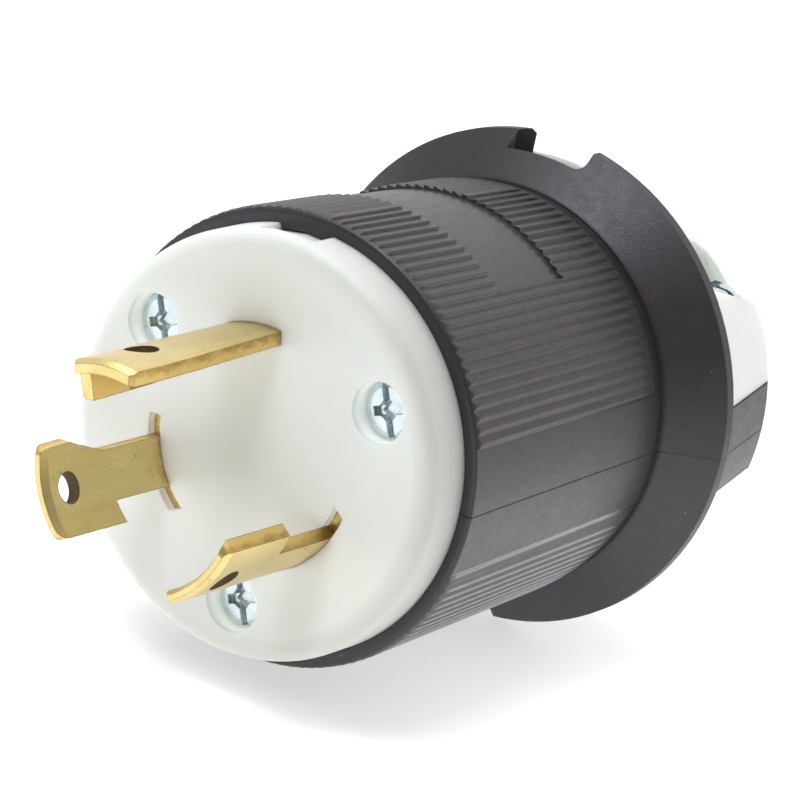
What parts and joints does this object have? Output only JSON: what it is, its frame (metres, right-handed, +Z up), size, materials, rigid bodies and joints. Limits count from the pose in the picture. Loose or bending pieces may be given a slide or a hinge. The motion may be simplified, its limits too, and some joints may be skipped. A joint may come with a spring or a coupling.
{
  "type": "locking power plug",
  "caption": "Round twist-locking power plug with curved brass blades on a white face, a black ribbed housing with a notched flange, and a split cord clamp.",
  "frame": {"origin": "on the plug axis, in the front surface of the white face", "axes": "+Y along the plug axis from the blades to the cord end, +Z up with the plug lying on its side, the mould seam in the XY plane"},
  "size_m": [0.057, 0.0947, 0.0564],
  "materials": {
    "white_nylon": "satin",
    "black_nylon": "satin",
    "grey_nylon": "matte",
    "blade_brass": "satin",
    "plated_brass": "satin",
    "zinc_steel": "bright zinc",
    "green_steel": "dyed"
  },
  "bodies": {
    "root": {"face": "white_nylon", "terminal_block": "grey_nylon", "housing": "black_nylon", "cord_clamp": "white_nylon", "line_blade_1": "blade_brass", "line_blade_2": "blade_brass", "ground_blade": "blade_brass", "line_clamp_1": "blade_brass", "line_clamp_2": "plated_brass", "ground_clamp": "blade_brass", "line_terminal_screw_1": "blade_brass", "line_terminal_screw_2": "zinc_steel", "ground_terminal_screw": "green_steel", "assembly_screws": "zinc_steel", "clamp_screws": "zinc_steel", "clamp_nuts": "zinc_steel"}
  },
  "joints": []
}
